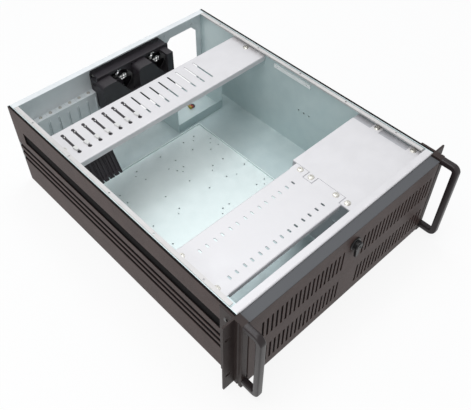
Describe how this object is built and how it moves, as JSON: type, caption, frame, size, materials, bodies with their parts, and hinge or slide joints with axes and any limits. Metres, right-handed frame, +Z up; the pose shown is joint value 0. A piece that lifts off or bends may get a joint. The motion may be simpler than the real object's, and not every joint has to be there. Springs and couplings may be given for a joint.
{
  "type": "rackmount server case",
  "caption": "Open-topped 19-inch rackmount computer case, empty, with a hinged vented front door, bow handles, drive tray and cage, card hold-down bar with swinging arms, and rear fans.",
  "frame": {"origin": "centre of the overall footprint on the standing surface, under the middle of the case", "axes": "+X to the right seen from the front, +Y towards the back, +Z up"},
  "size_m": [0.4826, 0.6122, 0.176],
  "materials": {
    "chassis_tub": "zinc-plated sheet, satin",
    "side_skin_right": "fine textured powder paint",
    "side_skin_left": "fine textured powder paint",
    "top_rails": "zinc-plated sheet, satin",
    "front_panel": "zinc-plated sheet, satin",
    "rear_panel": "zinc-plated sheet, satin",
    "slot_cover_1": "zinc-plated sheet, satin",
    "slot_cover_2": "zinc-plated sheet, satin",
    "slot_cover_3": "zinc-plated sheet, satin",
    "slot_cover_4": "zinc-plated sheet, satin",
    "slot_cover_5": "zinc-plated sheet, satin",
    "slot_cover_6": "zinc-plated sheet, satin",
    "slot_cover_7": "zinc-plated sheet, satin",
    "slot_cover_screws": "bright plated screws",
    "rack_ear_right": "fine textured powder paint",
    "rack_ear_left": "fine textured powder paint",
    "handle_right": "black anodised look, satin",
    "handle_left": "black anodised look, satin",
    "handle_screws": "socket cap screws, dark",
    "ear_screws": "dark pan-head screws",
    "door_hinge_pins": "ground steel pins",
    "bay_blanks": "moulded plastic, satin black",
    "switch_blocks": "moulded plastic, satin black",
    "status_lamps": "tinted lens",
    "holddown_bar": "zinc-plated sheet, satin",
    "wall_ledges": "zinc-plated sheet, satin",
    "bar_screws": "bright plated screws",
    "arm_guides": "moulded plastic, satin black",
    "guide_thumbs": "off-white moulded nut",
    "drive_tray": "zinc-plated sheet, satin",
    "tray_screws": "bright plated screws",
    "drive_cage": "zinc-plated sheet, satin",
    "cage_cover": "zinc-plated sheet, satin",
    "cage_screws": "bright plated screws",
    "fan_holder": "moulded plastic, satin black",
    "fan_frame_left": "moulded plastic, satin black",
    "fan_frame_right": "moulded plastic, satin black",
    "finger_guards": "bright plated wire",
    "fan_screws": "plated screws",
    "motherboard_tray": "zinc-plated sheet, satin",
    "psu_cradle": "zinc-plated sheet, satin",
    "lead_plug": "small moulded plug with the ends of three leads",
    "wall_strip": "zinc-plated sheet, satin",
    "front_door": "fine textured powder paint",
    "door_filters": "open-cell dust filter foam",
    "latch_barrel": "black moulded bezel",
    "latch_knob": "black moulded knob",
    "latch_cam": "zinc-plated sheet, satin",
    "fan_rotor_left": "moulded plastic, satin black",
    "fan_rotor_right": "moulded plastic, satin black",
    "power_button": "grey moulded button",
    "reset_button": "grey moulded button",
    "card_arm_1": "moulded plastic, satin black",
    "card_arm_2": "moulded plastic, satin black",
    "card_arm_3": "moulded plastic, satin black",
    "card_arm_4": "moulded plastic, satin black",
    "card_arm_5": "moulded plastic, satin black",
    "card_arm_6": "moulded plastic, satin black",
    "card_arm_7": "moulded plastic, satin black"
  },
  "bodies": {
    "case": {"chassis_tub": "chassis_tub", "side_skin_right": "side_skin_right", "side_skin_left": "side_skin_left", "top_rails": "top_rails", "front_panel": "front_panel", "rear_panel": "rear_panel", "slot_cover_1": "slot_cover_1", "slot_cover_2": "slot_cover_2", "slot_cover_3": "slot_cover_3", "slot_cover_4": "slot_cover_4", "slot_cover_5": "slot_cover_5", "slot_cover_6": "slot_cover_6", "slot_cover_7": "slot_cover_7", "slot_cover_screws": "slot_cover_screws", "rack_ear_right": "rack_ear_right", "rack_ear_left": "rack_ear_left", "handle_right": "handle_right", "handle_left": "handle_left", "handle_screws": "handle_screws", "ear_screws": "ear_screws", "door_hinge_pins": "door_hinge_pins", "bay_blanks": "bay_blanks", "switch_blocks": "switch_blocks", "status_lamps": "status_lamps", "holddown_bar": "holddown_bar", "wall_ledges": "wall_ledges", "bar_screws": "bar_screws", "arm_guides": "arm_guides", "guide_thumbs": "guide_thumbs", "drive_tray": "drive_tray", "tray_screws": "tray_screws", "drive_cage": "drive_cage", "cage_cover": "cage_cover", "cage_screws": "cage_screws", "fan_holder": "fan_holder", "fan_frame_left": "fan_frame_left", "fan_frame_right": "fan_frame_right", "finger_guards": "finger_guards", "fan_screws": "fan_screws", "motherboard_tray": "motherboard_tray", "psu_cradle": "psu_cradle", "lead_plug": "lead_plug", "wall_strip": "wall_strip"},
    "door": {"front_door": "front_door", "door_filters": "door_filters", "latch_barrel": "latch_barrel"},
    "latch": {"latch_knob": "latch_knob", "latch_cam": "latch_cam"},
    "fan_left": {"fan_rotor_left": "fan_rotor_left"},
    "fan_right": {"fan_rotor_right": "fan_rotor_right"},
    "power": {"power_button": "power_button"},
    "reset": {"reset_button": "reset_button"},
    "arm_1": {"card_arm_1": "card_arm_1"},
    "arm_2": {"card_arm_2": "card_arm_2"},
    "arm_3": {"card_arm_3": "card_arm_3"},
    "arm_4": {"card_arm_4": "card_arm_4"},
    "arm_5": {"card_arm_5": "card_arm_5"},
    "arm_6": {"card_arm_6": "card_arm_6"},
    "arm_7": {"card_arm_7": "card_arm_7"}
  },
  "joints": [
    {"name": "door_hinge", "type": "hinge", "parent": "case", "child": "door", "pos_m": [0, -0.26615, 0.0114], "axis": [1, 0, 0], "range_deg": [0, 85]},
    {"name": "latch_turn", "type": "hinge", "parent": "door", "child": "latch", "pos_m": [0.007, -0.27315, 0.144], "axis": [0, 1, 0], "range_deg": [0, 90]},
    {"name": "fan_left_spin", "type": "hinge", "parent": "case", "child": "fan_left", "pos_m": [-0.016, 0.28485, 0.121], "axis": [0, 1, 0], "continuous": true},
    {"name": "fan_right_spin", "type": "hinge", "parent": "case", "child": "fan_right", "pos_m": [0.0644, 0.28485, 0.121], "axis": [0, 1, 0], "continuous": true},
    {"name": "power_press", "type": "slide", "parent": "case", "child": "power", "axis": [0, 1, 0], "range_m": [0, 0.0025], "stiffness_N_per_m": 300},
    {"name": "reset_press", "type": "slide", "parent": "case", "child": "reset", "axis": [0, 1, 0], "range_m": [0, 0.0025], "stiffness_N_per_m": 200},
    {"name": "arm_1_swing", "type": "hinge", "parent": "case", "child": "arm_1", "pos_m": [-0.1863, 0.13285, 0.1543], "axis": [1, 0, 0], "range_deg": [-25, 118]},
    {"name": "arm_2_swing", "type": "hinge", "parent": "case", "child": "arm_2", "pos_m": [-0.16598, 0.13285, 0.1543], "axis": [1, 0, 0], "range_deg": [-25, 118]},
    {"name": "arm_3_swing", "type": "hinge", "parent": "case", "child": "arm_3", "pos_m": [-0.14566, 0.13285, 0.1543], "axis": [1, 0, 0], "range_deg": [-25, 118]},
    {"name": "arm_4_swing", "type": "hinge", "parent": "case", "child": "arm_4", "pos_m": [-0.12534, 0.13285, 0.1543], "axis": [1, 0, 0], "range_deg": [-143, 0]},
    {"name": "arm_5_swing", "type": "hinge", "parent": "case", "child": "arm_5", "pos_m": [-0.10502, 0.13285, 0.1543], "axis": [1, 0, 0], "range_deg": [-143, 0]},
    {"name": "arm_6_swing", "type": "hinge", "parent": "case", "child": "arm_6", "pos_m": [-0.0847, 0.13285, 0.1543], "axis": [1, 0, 0], "range_deg": [-143, 0]},
    {"name": "arm_7_swing", "type": "hinge", "parent": "case", "child": "arm_7", "pos_m": [-0.06438, 0.13285, 0.1543], "axis": [1, 0, 0], "range_deg": [-143, 0]}
  ]
}
